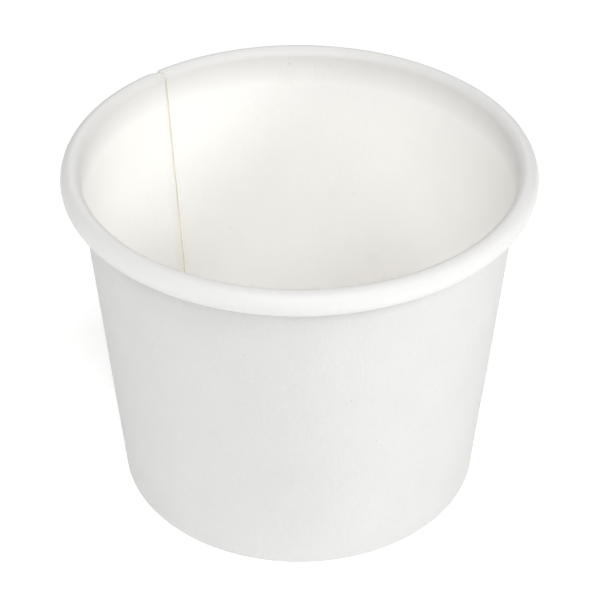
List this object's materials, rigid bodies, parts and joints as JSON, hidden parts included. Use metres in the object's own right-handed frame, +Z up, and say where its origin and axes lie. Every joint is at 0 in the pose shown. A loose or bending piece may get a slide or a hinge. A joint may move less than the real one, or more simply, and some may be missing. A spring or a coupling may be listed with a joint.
{
  "type": "paper sundae cup",
  "caption": "Small plain white paper cup for ice cream, with a tapered wall, a rolled rim, a lapped side seam and a recessed bottom.",
  "frame": {"origin": "centre of the foot's circle, on the plane that the cup stands on", "axes": "+Z up along the cup's axis. The side seam's inner cut edge lies 130 degrees counter-clockwise from +X, at the back left"},
  "size_m": [0.073, 0.073, 0.057],
  "materials": {
    "sidewall": "matte white board, coated inside",
    "bottom_disc": "matte white board, coated inside"
  },
  "bodies": {
    "root": {"sidewall": "sidewall", "bottom_disc": "bottom_disc"}
  },
  "joints": []
}
